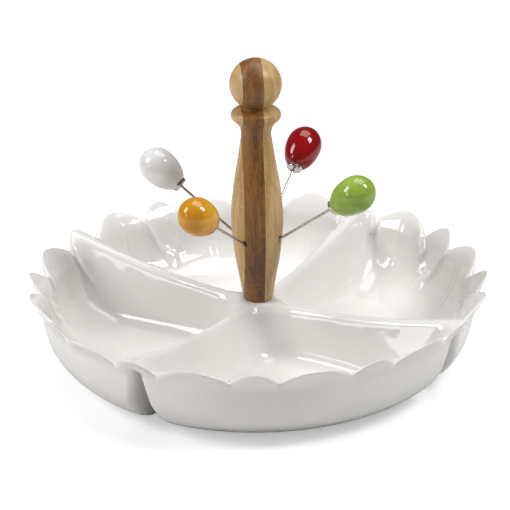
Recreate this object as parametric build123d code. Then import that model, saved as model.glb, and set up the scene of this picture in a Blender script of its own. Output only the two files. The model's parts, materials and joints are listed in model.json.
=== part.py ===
"""Chip and dip server: a glazed stoneware dish of four compartments with a petal rim, a turned and
laminated wooden handle screwed up through the hub, and four cocktail picks standing in the handle.

Millimetres, +Z up, origin on the surface the dish stands on, under the handle's axis.
The dividers run along X and Y, so each compartment fills one quadrant."""

from build123d import *
from math import asin, atan, cos, degrees, radians, sin, sqrt
import os

# ---------------------------------------------------------------- driving dimensions
RIM_R = 152.0  # outer radius at the petal tips
RIM_Z = 57.5  # height of the petal tips
FOOT_R = 114.0  # radius of the flat foot
FLOOR_Z = 6.0  # top of a compartment's floor
SKY_Z = 75.0  # a height clear of the dish, for cutters
SEAM_TURN = 45.0  # keeps the seam of a turned surface off the dividers
BELOW_Z = -5.0  # a level under the foot, for solids that the foot's plane cuts off
SKY_HANDLE_Z = 250.0  # a height clear of the handle

HUB_R = 12.5  # flat seat for the handle
HUB_Z = 39.4
CREST_HUB_Z = 38.0  # divider crest height, extrapolated to the axis
CREST_RIM_Z = 57.0  # divider crest height at CREST_REF_R
CREST_REF_R = 150.0
WEB_T = 6.5  # thickness of the stoneware over each groove
WEB_HALF_W = 15.0

SIDE_REF_Z = 37.0  # the divider's side planes leave the line z = SIDE_REF_Z + SIDE_RISE * r
SIDE_RISE = 0.115
POCKET_SIDE = (2.0, 0.33)  # half width at that line, and growth per mm below it
GROOVE_SIDE = (0.8, 0.155)
POCKET_R = 9.0  # rounding of a compartment's outer corners and floor
BLOCK_CORNER_R = 6.5  # rounding of a compartment's outside into the grooves
HUB_CORNER_R = 16.0  # rounding of a compartment's floor outline at the hub
CUTTER_REACH = 200.0  # a radius clear of the dish

PETAL_PITCH = 30.0  # one wide and one narrow petal
WIDE_HALF = 9.25  # half the angle of a wide petal
NARROW_HALF = PETAL_PITCH / 2 - WIDE_HALF
PETAL_DEPTH = 9.5  # from a tip down to the cusp beside it
TIP_FLAT = 0.8  # how far a petal's arcs pass over the rim, which leaves a short level tip
PETAL_REF_R = 147.0  # radius at which a petal's width is measured

RECESS_TOP_R = 11.0  # round hollow where the grooves meet under the hub
RECESS_FOOT_R = 16.5
HUB_PLATE_T = 7.8
SCREW_HOLE_R = 3.0

SCREW_R = 2.5
SCREW_HEAD_R = 4.6
SCREW_HEAD_H = 3.4
SCREW_GRIP = 10.0  # how far the screw reaches into the insert
WASHER_R, WASHER_T = 8.0, 1.2
SEAL_R, SEAL_T = 9.0, 2.0
INSERT_R, INSERT_L = 4.2, 13.0
THREAD_GAP = 0.05
DRIVE_W, DRIVE_DEPTH, DRIVE_SPAN = 1.1, 1.9, 5.2

HANDLE_FOOT_Z = HUB_Z
HANDLE_FOOT_R = 9.8
FOOT_CHAMFER = 1.0
BALL_Z, BALL_R = 186.9, 16.7
COLLAR_Z, COLLAR_R = 168.2, 16.1  # widest place of the collar
COLLAR_TOP_Z = 172.0
NECK_Z, NECK_R = 153.5, 9.6  # narrowest place under the collar
BALL_NECK_R = 9.5  # neck that carries the ball
BELLY_Z, BELLY_R = 95.0, 17.0
SCREW_WAY_GAP = 0.3  # play round the screw's end in the wood
SCREW_WAY_SPARE = 4.0  # depth of the bore past the insert

STAVE_AZIMUTH = 39.5  # direction square to the glue lines
STAVE_LINES = (-10.0, 3.0)  # offsets of the two glue lines from the axis

PICK_AZIMUTHS = {"green": 5.0, "red": 93.4, "white": 188.7, "amber": -90.3}
PICK_TILTS = {"green": 36.5, "red": 37.0, "white": 36.0, "amber": 35.0}  # above the horizontal
PICK_AXIS_Z = 71.9  # where a pick's axis meets the handle's axis
PICK_HOLE_R = 0.97
PICK_DRILL_L = 40.0
PICK_HOLE_END = 6.0  # this and the next places run along the pick's axis, from the handle's axis outward
PIN_TIP = 6.3
PIN_R = 0.9
PIN_POINT_L = 6.0
FERRULE_T, FERRULE_R, FERRULE_FACE_R = 2.0, 5.2, 4.3
HEAD_START = 68.5
HEAD_L, HEAD_R, HEAD_END_R = 32.0, 12.4, 5.0
HEAD_WIDEST = 18.0  # from the ferrule end
HEAD_BORE_DEPTH = 12.0


# ---------------------------------------------------------------- helpers
def crest_z(r):
    """Height of a divider's crest at radius r."""
    return CREST_HUB_Z + (CREST_RIM_Z - CREST_HUB_Z) * (r / CREST_REF_R) ** 2


def turned(*edges):
    """A full solid of revolution about Z from outline edges drawn in the XZ plane."""
    return revolve(make_face(list(edges)), Axis.Z)


def xz(*points):
    """Points of the XZ plane from (radius, height) pairs."""
    return [Vector(r, 0, z) for r, z in points]


def poly(*points):
    """Straight edges through (radius, height) pairs."""
    return Polyline(*xz(*points)).edges()


def curve(points, **tangents):
    """A smooth edge through (radius, height) pairs."""
    return Spline(*xz(*points), **tangents).edges()


def half_space():
    """A block large enough to stand for everything above the XY plane."""
    return Box(500, 500, 250, align=(Align.CENTER, Align.CENTER, Align.MIN))


def quadrant_side(side, turned_over):
    """Everything on the compartment side of a divider's side plane, for the first quadrant."""
    base, growth = side
    reach = base + growth * SIDE_REF_Z
    origin, normal = (0, reach, 0), (-growth * SIDE_RISE, 1, growth)
    if turned_over:
        origin, normal = (reach, 0, 0), (1, -growth * SIDE_RISE, growth)
    return Plane(origin=origin, z_dir=normal) * half_space()


def four_round(shape):
    """The shape in all four quadrants."""
    return [Rot(0, 0, 90 * k) * shape for k in range(4)]


# ---------------------------------------------------------------- the dish
OUTER_WALL = [(FOOT_R - 12, BELOW_Z), (FOOT_R, 0), (124, 5), (132.5, 12), (139, 22), (142, 34), (144, 45)]
OUTER_WALL += [(147.5, 52), (RIM_R, RIM_Z), (RIM_R + 6, RIM_Z + 8.5), (RIM_R + 10, SKY_Z)]
INNER_WALL = [(108, FLOOR_Z), (118.5, 11), (129, 22), (135, 34), (138, 45), (141.5, 52), (147.5, 60)]


def wall_solid():
    """Solid of revolution inside the outer wall, carried on above the rim and below the foot."""
    outline = [*curve(OUTER_WALL), *poly(OUTER_WALL[-1], (0, SKY_Z), (0, BELOW_Z), OUTER_WALL[0])]
    return Rot(0, 0, SEAM_TURN) * turned(*outline)


def under_crests():
    """Everything below the surface in which the crests and the rim lie."""
    crest = [(r, crest_z(r)) for r in (26, 60, 95, 125)]
    edge = RIM_R + 5
    top = [(HUB_R, HUB_Z), *crest, (RIM_R, RIM_Z), (edge, RIM_Z + 1)]
    outline = [*curve(top), *poly(top[-1], (edge, 0), (0, 0), (0, HUB_Z), (HUB_R, HUB_Z))]
    return Rot(0, 0, SEAM_TURN) * turned(*outline)


def compartment_block(solid):
    """Outside of one compartment, rounded where its wall turns into the grooves."""
    block = solid & quadrant_side(GROOVE_SIDE, False) & quadrant_side(GROOVE_SIDE, True)
    upright = [e for e in block.edges() if e.bounding_box().size.Z > 50]
    outer = [e for e in upright if e.center().length > FOOT_R]
    return fillet(outer, BLOCK_CORNER_R)


def pocket_wedge():
    """Sides and hub corner of a compartment: an outline on its floor, widening upward."""
    base, growth = POCKET_SIDE
    start = base + growth * (SIDE_REF_Z - FLOOR_Z)
    slope = growth * SIDE_RISE
    inner = start / (1 - slope)
    far = start + slope * CUTTER_REACH
    reach = CUTTER_REACH
    face = make_face(Polyline((inner, inner), (reach, far), (reach, reach), (far, reach), close=True))
    hub_corner = face.vertices().sort_by(lambda v: v.X + v.Y)[0]
    face = Pos(0, 0, FLOOR_Z) * fillet(hub_corner, HUB_CORNER_R)
    return extrude(face, amount=SKY_Z - FLOOR_Z, taper=-degrees(atan(growth)))


def compartment_pocket():
    """Hollow of one compartment, rounded in its outer corners and round its floor."""
    last_r, last_z = INNER_WALL[-1]
    bowl = turned(
        *poly((last_r, last_z), (last_r + 3, SKY_Z), (0, SKY_Z), (0, FLOOR_Z), INNER_WALL[0]),
        *curve(INNER_WALL),
    )
    pocket = bowl & pocket_wedge()
    low = [e for e in pocket.edges() if e.bounding_box().min.Z < FLOOR_Z + 0.01]
    on_floor = [e for e in low if e.bounding_box().max.Z < FLOOR_Z + 0.01]
    corners = [e for e in low if e.geom_type != GeomType.LINE and e.bounding_box().size.Z > 1]
    corners = [e for e in corners if e.center().length > FOOT_R]
    return fillet(on_floor + corners, POCKET_R)


def groove_roof():
    """Web that joins neighbouring compartments over the grooves, carried on up above the dish."""
    under = [(r, crest_z(r) - WEB_T) for r in (0, 40, 80, 115, CREST_REF_R)]
    edge = CREST_REF_R + 15
    skin = turned(
        *curve(under),
        *poly(under[-1], (edge, under[-1][1] + 2), (edge, SKY_Z), (0, SKY_Z), under[0]),
    )
    slab = Box(400, 2 * WEB_HALF_W, 200)
    return skin & (slab + Rot(0, 0, 90) * slab)


def petal_notch(wide_side):
    """Cutter between a wide petal's tip and a narrow one's, cusp on the X axis at PETAL_REF_R."""
    wide = radians(WIDE_HALF) * PETAL_REF_R * wide_side
    narrow = -radians(NARROW_HALF) * PETAL_REF_R * wide_side
    cusp, tip = RIM_Z - PETAL_DEPTH, RIM_Z + TIP_FLAT
    depth = tip - cusp

    def rise(width):
        """Arc from the cusp that is level at the tip."""
        radius = (width**2 + depth**2) / (2 * depth)
        half_turn = 0.5 * asin(abs(width) / radius)
        middle = width * (1 - radius * sin(half_turn) / abs(width))
        return ThreePointArc((0, 0, cusp), (0, middle, tip - radius * (1 - cos(half_turn))), (0, width, tip))

    sky = Polyline((0, wide, tip), (0, wide, SKY_Z), (0, narrow, SKY_Z), (0, narrow, tip))
    face = make_face([rise(wide).edge(), *sky.edges(), rise(narrow).edge()])
    return Pos(118, 0, 0) * extrude(face, amount=50, dir=(1, 0, 0))


def petal_notches():
    """Cutters for every cusp round the rim."""
    cuts = []
    for k in range(round(360 / PETAL_PITCH)):
        middle = PETAL_PITCH * (k + 0.5)
        cuts.append(Rot(0, 0, middle + WIDE_HALF) * petal_notch(-1))
        cuts.append(Rot(0, 0, middle - WIDE_HALF) * petal_notch(1))
    return cuts


def hub_recess():
    """Round hollow under the hub, where the grooves meet, and the screw's hole through the hub."""
    roof = HUB_Z - HUB_PLATE_T
    cone = turned(*poly((0, -1), (RECESS_FOOT_R, -1), (RECESS_TOP_R, roof), (0, roof), (0, -1)))
    return cone + Cylinder(SCREW_HOLE_R, 60, align=(Align.CENTER, Align.CENTER, Align.MIN))


def dish():
    """The stoneware, one casting."""
    walls = wall_solid()
    solid = (groove_roof() & walls) + four_round(compartment_block(walls))
    solid &= under_crests()
    solid -= four_round(compartment_pocket())
    solid -= hub_recess()
    solid -= petal_notches()
    return solid


# ---------------------------------------------------------------- the handle
def handle_blank():
    """The turned shape: foot, belly, neck, collar and ball."""
    foot_edge_z = HANDLE_FOOT_Z + FOOT_CHAMFER
    ball_foot_z = BALL_Z - sqrt(BALL_R**2 - BALL_NECK_R**2)
    body = [(HANDLE_FOOT_R, foot_edge_z), (12.0, 54), (14.4, 67.5), (BELLY_R, BELLY_Z)]
    body += [(15.4, 118), (12.4, 135.5), (NECK_R, NECK_Z)]
    flare = [(NECK_R, NECK_Z), (10.6, 158.6), (14.0, 162.4), (COLLAR_R, COLLAR_Z)]
    collar_top = [(COLLAR_R, COLLAR_Z), (15.3, 170.3), (12.5, 171.4), (BALL_NECK_R, COLLAR_TOP_Z)]
    foot = [(HANDLE_FOOT_R, foot_edge_z), (HANDLE_FOOT_R - FOOT_CHAMFER, HANDLE_FOOT_Z)]
    middle = [(0, HANDLE_FOOT_Z), (0, COLLAR_TOP_Z), (BALL_NECK_R, COLLAR_TOP_Z)]
    shape = turned(*poly(*foot, *middle), *curve(body), *curve(flare), *curve(collar_top))
    overlap = 1.0  # the neck runs this far into the collar and into the ball
    neck = standing(BALL_NECK_R, ball_foot_z - COLLAR_TOP_Z + 2 * overlap, COLLAR_TOP_Z - overlap)
    return shape + neck + Pos(0, 0, BALL_Z) * Sphere(BALL_R)


def pick_place(colour):
    """Frame of one pick: +Z along its axis, outward, from the handle's axis."""
    tilt = radians(PICK_TILTS[colour])
    a = radians(PICK_AZIMUTHS[colour])
    outward = (cos(tilt) * cos(a), cos(tilt) * sin(a), sin(tilt))
    return Plane(origin=(0, 0, PICK_AXIS_Z), z_dir=outward)


def standing(radius, length, start=0.0):
    """A cylinder along +Z from start."""
    rod = Cylinder(radius, length, align=(Align.CENTER, Align.CENTER, Align.MIN))
    return Pos(0, 0, start) * rod


def drilled_handle():
    """The turned shape with the insert's bore and the pick holes."""
    wood = handle_blank() - standing(INSERT_R, INSERT_L, HANDLE_FOOT_Z)
    wood -= standing(SCREW_R + SCREW_WAY_GAP, INSERT_L + SCREW_WAY_SPARE, HANDLE_FOOT_Z)
    for colour in PICK_AZIMUTHS:
        wood -= pick_place(colour) * standing(PICK_HOLE_R, PICK_DRILL_L, PICK_HOLE_END)
    return wood


def staves():
    """The glued staves, cut from the turned shape at the glue lines.

    Turning leaves the outer stave on one side only where the shape is wide enough to reach it: three
    separate slips, on the belly, the collar and the ball."""
    wood = drilled_handle()
    left, right = STAVE_LINES
    lath = Box(80, 80, SKY_HANDLE_Z, align=(Align.MIN, Align.CENTER, Align.MIN))

    def between(low, high):
        """The wood between two offsets from the axis."""
        slab = Pos(low, 0, 0) * lath & Pos(high, 0, 0) * Rot(0, 0, 180) * lath
        return wood & (Rot(0, 0, STAVE_AZIMUTH) * slab)

    slips = between(left - 60, left).solids().sort_by(Axis.Z)
    cut = {f"handle_slip_{place}": slip for place, slip in zip(("belly", "collar", "ball"), slips)}
    cut["handle_stave_dark"] = between(left, right)
    cut["handle_stave_light"] = between(right, right + 60)
    return cut


# ---------------------------------------------------------------- the fixing under the hub
def fixing():
    """Screw, washer, seal and the threaded insert in the handle."""
    roof = HUB_Z - HUB_PLATE_T
    seal_foot = roof - SEAL_T
    washer_foot = seal_foot - WASHER_T
    head_foot = washer_foot - SCREW_HEAD_H
    seal = standing(SEAL_R, SEAL_T, seal_foot) - standing(SCREW_HOLE_R, SEAL_T, seal_foot)
    washer = standing(WASHER_R, WASHER_T, washer_foot) - standing(SCREW_HOLE_R, WASHER_T, washer_foot)
    washer = chamfer(washer.edges().filter_by(GeomType.CIRCLE).sort_by(Axis.Z)[0], 0.3)
    head = standing(SCREW_HEAD_R, SCREW_HEAD_H, head_foot)
    head = fillet(head.edges().sort_by(Axis.Z)[0], 1.5)
    drive = Pos(0, 0, head_foot) * Box(DRIVE_SPAN, DRIVE_W, 2 * DRIVE_DEPTH)
    screw = head - drive - Rot(0, 0, 90) * drive
    screw += standing(SCREW_R, HANDLE_FOOT_Z + SCREW_GRIP - washer_foot, washer_foot)
    insert = standing(INSERT_R, INSERT_L, HANDLE_FOOT_Z)
    insert -= standing(SCREW_R + THREAD_GAP, INSERT_L, HANDLE_FOOT_Z)
    return {
        "seal_washer": seal,
        "steel_washer": washer,
        "handle_screw": screw,
        "threaded_insert": insert,
    }


# ---------------------------------------------------------------- the picks
def pick_head():
    """Egg-shaped bead with a flat end for the ferrule and a blind bore for the pin."""
    shallow = HEAD_WIDEST / sqrt(1 - (HEAD_END_R / HEAD_R) ** 2)

    def egg_r(s):
        """Radius at distance s from the ferrule end."""
        reach = shallow if s < HEAD_WIDEST else HEAD_L - HEAD_WIDEST
        return HEAD_R * sqrt(max(0.0, 1 - ((s - HEAD_WIDEST) / reach) ** 2))

    near = [(egg_r(s), HEAD_START + s) for s in (0, 2.5, 6, 11, HEAD_WIDEST)]
    far = [(egg_r(HEAD_L - s), HEAD_START + HEAD_L - s) for s in (14.0, 10.0, 6.0, 3.0, 1.0, 0.0)]
    up, inward, near_lean = Vector(0, 0, 1), Vector(-1, 0, 0), Vector(0.8, 0, 0.6)
    egg = turned(
        *curve(near, tangents=[near_lean, up]),
        *curve(far, tangents=[up, inward]),
        *poly((0, HEAD_START + HEAD_L), (0, HEAD_START), (HEAD_END_R, HEAD_START)),
    )
    return egg - standing(PIN_R, HEAD_BORE_DEPTH, HEAD_START)


def pick_ferrule():
    """Shallow metal cap between the pin and the head."""
    foot = HEAD_START - FERRULE_T
    cap = turned(
        *poly((0, HEAD_START), (0, foot), (FERRULE_FACE_R, foot), (FERRULE_R - 0.2, HEAD_START - 1.1)),
        *poly((FERRULE_R - 0.2, HEAD_START - 1.1), (FERRULE_R, HEAD_START), (0, HEAD_START)),
    )
    return cap - standing(PIN_R, FERRULE_T, foot)


def pick_pin():
    """Steel pin with a ground point."""
    shaft_foot = PIN_TIP + PIN_POINT_L
    shaft_top = HEAD_START + HEAD_BORE_DEPTH
    return turned(*poly((0, PIN_TIP), (PIN_R, shaft_foot), (PIN_R, shaft_top), (0, shaft_top), (0, PIN_TIP)))


def picks():
    """Every pick's pin, ferrule and head, in place."""
    made = {"pin": pick_pin(), "ferrule": pick_ferrule(), "head": pick_head()}
    return {
        f"pick_{colour}_{piece}": pick_place(colour) * shape
        for colour in PICK_AZIMUTHS
        for piece, shape in made.items()
    }


def main():
    """Write one STEP per sub-part."""
    os.makedirs("parts", exist_ok=True)
    parts = {"dish": dish(), **staves(), **fixing(), **picks()}
    for name, shape in parts.items():
        export_step(shape, f"parts/{name}.step")


if __name__ == "__main__":
    main()
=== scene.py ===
"""Visual model of a chip and dip server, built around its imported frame.

A glazed stoneware dish of four compartments with a petal rim carries a turned, laminated handle at its hub,
and four cocktail picks stand in the handle. Sizes in the classes are in millimetres, in the frame's own axes:
the dividers run along X and Y, and the dish stands on Z = 0.
"""
import json
import logging
from dataclasses import dataclass, field
from enum import Enum
from math import atan2, cos, degrees, exp, hypot, inf, pi, radians, sin, sqrt
from typing import Callable, Sequence

import bmesh
import bpy
from mathutils import Matrix, Vector, noise


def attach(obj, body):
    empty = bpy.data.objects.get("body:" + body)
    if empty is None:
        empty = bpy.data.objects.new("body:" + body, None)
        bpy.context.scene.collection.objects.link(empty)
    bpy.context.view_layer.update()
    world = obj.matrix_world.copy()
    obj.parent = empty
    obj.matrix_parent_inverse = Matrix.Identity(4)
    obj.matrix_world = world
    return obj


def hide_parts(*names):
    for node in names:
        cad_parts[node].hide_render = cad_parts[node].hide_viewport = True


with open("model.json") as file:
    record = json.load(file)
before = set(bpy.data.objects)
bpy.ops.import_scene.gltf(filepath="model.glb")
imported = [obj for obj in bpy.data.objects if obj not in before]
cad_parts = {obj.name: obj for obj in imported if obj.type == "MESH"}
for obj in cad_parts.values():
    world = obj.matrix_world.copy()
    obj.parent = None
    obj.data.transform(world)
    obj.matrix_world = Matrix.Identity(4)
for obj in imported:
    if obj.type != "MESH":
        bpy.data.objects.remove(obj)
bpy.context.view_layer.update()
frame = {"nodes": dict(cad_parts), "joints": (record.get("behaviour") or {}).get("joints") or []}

LOG = logging.getLogger("server")
MM = 0.001
TINY = 1e-6
QUARTER_TURN = pi / 2
WHITE = (1.0, 1.0, 1.0, 1.0)
Point = tuple[float, float]
Colour = tuple[float, float, float]
Paint = bpy.types.NodeSocket | Colour
Amount = bpy.types.NodeSocket | float


# ---------------------------------------------------------------- curves and grids
def smoothstep(low: float, high: float, value: float) -> float:
    """Smooth rise from 0 at low to 1 at high."""
    share = min(1.0, max(0.0, (value - low) / (high - low)))
    return share * share * (3 - 2 * share)


def follow(points: Sequence[Point], at: float) -> float:
    """Value of a smooth curve through points.

    Args:
        points: (position, value) pairs in rising order of position.
        at: the position wanted; past either end the end's value holds.

    Returns:
        The value of a cubic curve whose slope at each point is the mean of the slopes beside it.
    """
    if at <= points[0][0]:
        return points[0][1]
    if at >= points[-1][0]:
        return points[-1][1]
    slopes = [(b[1] - a[1]) / (b[0] - a[0]) for a, b in zip(points, points[1:])]
    last = len(points) - 1
    span = next(i for i in range(last) if at <= points[i + 1][0])
    (x0, y0), (x1, y1) = points[span], points[span + 1]
    before = slopes[0] if span == 0 else (slopes[span - 1] + slopes[span]) / 2
    after = slopes[-1] if span == last - 1 else (slopes[span] + slopes[span + 1]) / 2
    width = x1 - x0
    s = (at - x0) / width
    return (
        y0 * (1 + 2 * s) * (1 - s) ** 2
        + y1 * s * s * (3 - 2 * s)
        + width * (before * s * (1 - s) ** 2 - after * s * s * (1 - s))
    )


def spaced(start: float, end: float, steps: int) -> list[float]:
    """Evenly spaced values from start to end, both included."""
    return [start + (end - start) * i / steps for i in range(steps + 1)]


def warped_grid(bm: bmesh.types.BMesh, columns: int, rows: int, place: Callable[[int, int], Vector]) -> None:
    """Add a grid to a mesh and move each of its vertices to its place.

    Args:
        bm: the mesh.
        columns: number of vertices along the grid's first direction.
        rows: number of vertices along its second direction.
        place: gives the place of the vertex in a column and row, in millimetres.
    """
    made = bmesh.ops.create_grid(bm, x_segments=columns - 1, y_segments=rows - 1, size=1.0)
    for vert in made["verts"]:
        column = round((vert.co.x + 1) / 2 * (columns - 1))
        row = round((vert.co.y + 1) / 2 * (rows - 1))
        vert.co = place(column, row) * MM


def piece_from(
    bm: bmesh.types.BMesh, name: str, material: bpy.types.Material, sharp: float | None
) -> bpy.types.Object:
    """Turn a mesh under construction into a finished object at the origin.

    Args:
        bm: the mesh, which is freed.
        name: the object's name.
        material: its finish.
        sharp: angle in degrees above which an edge stays sharp, or None for none.

    Returns:
        The object, linked to the scene.
    """
    mesh = bpy.data.meshes.new(name)
    bm.to_mesh(mesh)
    bm.free()
    mesh.shade_smooth()
    if sharp is not None:
        mesh.set_sharp_from_angle(angle=radians(sharp))
    mesh.materials.append(material)
    piece = bpy.data.objects.new(name, mesh)
    bpy.context.scene.collection.objects.link(piece)
    return piece


def turned_solid(outline: Sequence[Point], steps: int, turn: Matrix | None = None) -> bmesh.types.BMesh:
    """Spin an outline about Z into a closed solid.

    Args:
        outline: (radius, height) pairs in millimetres, from one point on the axis to the other.
        steps: number of steps in the full turn.
        turn: placement of the solid in the frame, in metres.

    Returns:
        The solid as a mesh under construction.
    """
    bm = bmesh.new()
    verts = [bm.verts.new((r * MM, 0, z * MM)) for r, z in outline]
    for a, b in zip(verts, verts[1:]):
        bm.edges.new((a, b))
    geometry = bm.verts[:] + bm.edges[:]
    bmesh.ops.spin(
        bm, geom=geometry, cent=(0, 0, 0), axis=(0, 0, 1), angle=2 * pi, steps=steps, use_merge=True
    )
    bmesh.ops.remove_doubles(bm, verts=bm.verts[:], dist=TINY)
    bmesh.ops.recalc_face_normals(bm, faces=bm.faces[:])
    if turn is not None:
        bmesh.ops.transform(bm, matrix=turn, verts=bm.verts[:])
    return bm


# ---------------------------------------------------------------- shader helpers
class NodeSheet:
    """A small layer over a node tree that adds and joins nodes."""

    def __init__(self, tree: bpy.types.NodeTree) -> None:
        """Keep the tree."""
        self.tree = tree

    def add(self, kind: str, inputs: dict | None = None, **settings: object) -> bpy.types.Node:
        """Add a node.

        Args:
            kind: the node's class name without its ShaderNode prefix.
            inputs: values or sockets by input name or index.
            **settings: attributes of the node.

        Returns:
            The node.
        """
        prefix = "" if kind.startswith("NodeGroup") else "ShaderNode"
        node = self.tree.nodes.new(prefix + kind)
        for key, value in settings.items():
            setattr(node, key, value)
        for key, value in (inputs or {}).items():
            if isinstance(value, bpy.types.NodeSocket):
                self.tree.links.new(value, node.inputs[key])
            else:
                node.inputs[key].default_value = value
        return node

    def noise(
        self, vector: bpy.types.NodeSocket, scale: float, detail: float, rough: float = 0.5
    ) -> bpy.types.NodeSocket:
        """Add a noise texture and return its value."""
        made = self.add("TexNoise", {"Vector": vector, "Scale": scale, "Detail": detail, "Roughness": rough})
        return made.outputs["Fac"]

    def ramp(
        self, value: bpy.types.NodeSocket, low: float, high: float, start: float = 0.0, end: float = 1.0
    ) -> bpy.types.NodeSocket:
        """Add a clamped smooth remap of value from low..high to start..end."""
        names = {"Value": value, "From Min": low, "From Max": high, "To Min": start, "To Max": end}
        return self.add("MapRange", names, interpolation_type="SMOOTHSTEP").outputs["Result"]

    def mix(self, share: bpy.types.NodeSocket, a: Paint, b: Paint) -> bpy.types.NodeSocket:
        """Add a colour mix.

        Args:
            share: how much of the second colour shows, from 0 to 1.
            a: the first colour.
            b: the second colour.

        Returns:
            The mixed colour.
        """
        made = self.add("Mix", data_type="RGBA")
        self.tree.links.new(share, made.inputs["Factor"])
        for name, value in (("A", a), ("B", b)):
            socket = next(s for s in made.inputs if s.name == name and s.type == "RGBA")
            if isinstance(value, bpy.types.NodeSocket):
                self.tree.links.new(value, socket)
            else:
                socket.default_value = (*value, 1.0)
        return next(s for s in made.outputs if s.type == "RGBA")

    def maths(self, operation: str, a: Amount, b: Amount) -> bpy.types.NodeSocket:
        """Add a maths node and return its value."""
        return self.add("Math", {0: a, 1: b}, operation=operation).outputs[0]


class Socket(Enum):
    """Kinds of group socket."""

    VALUE = "NodeSocketFloat"
    COLOUR = "NodeSocketColor"


def new_group(
    name: str, takes: dict[str, Socket], gives: dict[str, Socket]
) -> tuple[NodeSheet, bpy.types.Node, bpy.types.Node]:
    """Start a shader node group.

    Args:
        name: the group's name.
        takes: its inputs.
        gives: its outputs.

    Returns:
        The group's sheet, its input node and its output node.
    """
    tree = bpy.data.node_groups.new(name, "ShaderNodeTree")
    for label, kind in takes.items():
        tree.interface.new_socket(name=label, in_out="INPUT", socket_type=kind.value)
    for label, kind in gives.items():
        tree.interface.new_socket(name=label, in_out="OUTPUT", socket_type=kind.value)
    sheet = NodeSheet(tree)
    return sheet, sheet.add("NodeGroupInput"), sheet.add("NodeGroupOutput")


def glaze_group() -> bpy.types.NodeTree:
    """Group for glassy glaze: slow tone drift, fine ripple and rare pinholes.

    Returns:
        The group's node tree.
    """
    pore_scale, pore_core, pore_edge = 130.0, 0.012, 0.035
    pore_depth, pore_shade, pore_colour = 0.35, 0.25, (0.35, 0.3, 0.25)
    smoothest, roughest = 0.035, 0.075
    takes = {"Thick": Socket.COLOUR, "Thin": Socket.COLOUR, "Drift": Socket.VALUE, "Ripple": Socket.VALUE}
    gives = {"Colour": Socket.COLOUR, "Roughness": Socket.VALUE, "Height": Socket.VALUE}
    sheet, into, out = new_group("glaze_surface", takes, gives)
    place = sheet.add("TexCoord").outputs["Object"]
    drift = sheet.add("TexNoise", {"Vector": place, "Scale": into.outputs["Drift"], "Detail": 3.0})
    share = sheet.ramp(drift.outputs["Fac"], 0.35, 0.65)
    blend = sheet.mix(share, into.outputs["Thick"], into.outputs["Thin"])
    ripple = sheet.add("TexNoise", {"Vector": place, "Scale": into.outputs["Ripple"], "Detail": 1.5})
    pores = sheet.add("TexVoronoi", {"Vector": place, "Scale": pore_scale}, feature="F1")
    pinhole = sheet.ramp(pores.outputs["Distance"], pore_core, pore_edge, 1.0, 0.0)
    height = sheet.maths("SUBTRACT", ripple.outputs["Fac"], sheet.maths("MULTIPLY", pinhole, pore_depth))
    dotted = sheet.mix(sheet.maths("MULTIPLY", pinhole, pore_shade), blend, pore_colour)
    rough = sheet.ramp(ripple.outputs["Fac"], 0.3, 0.7, smoothest, roughest)
    for name, value in (("Colour", dotted), ("Roughness", rough), ("Height", height)):
        sheet.tree.links.new(value, out.inputs[name])
    return sheet.tree


def timber_group() -> bpy.types.NodeTree:
    """Group for planed timber along Z: growth bands, streaks and short pale flecks.

    Returns:
        The group's node tree.
    """
    long_stretch, short_stretch = (1.0, 1.0, 0.055), (1.0, 1.0, 0.11)
    band_scale, streak_scale, fleck_scale, pore_scale = 210.0, 1150.0, 2500.0, 2100.0
    band_share, most_fleck, most_pore = 0.62, 0.6, 0.45
    pore_from, pore_to, pore_depth = 0.6, 0.72, 0.6
    smoothest, roughest = 0.3, 0.42
    takes = {"Early": Socket.COLOUR, "Late": Socket.COLOUR, "Fleck": Socket.COLOUR, "Shift": Socket.VALUE}
    gives = {"Colour": Socket.COLOUR, "Roughness": Socket.VALUE, "Height": Socket.VALUE}
    sheet, into, out = new_group("timber_surface", takes, gives)
    place = sheet.add("TexCoord").outputs["Object"]
    offset = sheet.add("CombineXYZ", {axis: into.outputs["Shift"] for axis in range(3)})
    moved = sheet.add("VectorMath", {0: place, 1: offset.outputs[0]}, operation="ADD").outputs[0]
    long_grain = sheet.add("Mapping", {"Vector": moved, "Scale": long_stretch}).outputs[0]
    short_grain = sheet.add("Mapping", {"Vector": moved, "Scale": short_stretch}).outputs[0]
    bands = sheet.noise(long_grain, band_scale, 3.0, 0.55)
    streaks = sheet.noise(long_grain, streak_scale, 3.0, 0.6)
    flecks = sheet.noise(short_grain, fleck_scale, 1.0)
    pores = sheet.noise(short_grain, pore_scale, 1.0)
    streak_part = sheet.maths("MULTIPLY", streaks, 1 - band_share)
    tone = sheet.maths("ADD", sheet.maths("MULTIPLY", bands, band_share), streak_part)
    body = sheet.mix(sheet.ramp(tone, 0.4, 0.6), into.outputs["Early"], into.outputs["Late"])
    pale = sheet.mix(sheet.ramp(flecks, 0.56, 0.7, 0.0, most_fleck), body, into.outputs["Fleck"])
    dark = sheet.mix(sheet.ramp(pores, pore_from, pore_to, 0.0, most_pore), pale, into.outputs["Late"])
    rough = sheet.ramp(streaks, 0.3, 0.7, smoothest, roughest)
    height = sheet.maths("SUBTRACT", streaks, sheet.ramp(pores, pore_from, pore_to, 0.0, pore_depth))
    for name, value in (("Colour", dark), ("Roughness", rough), ("Height", height)):
        sheet.tree.links.new(value, out.inputs[name])
    return sheet.tree


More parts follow.
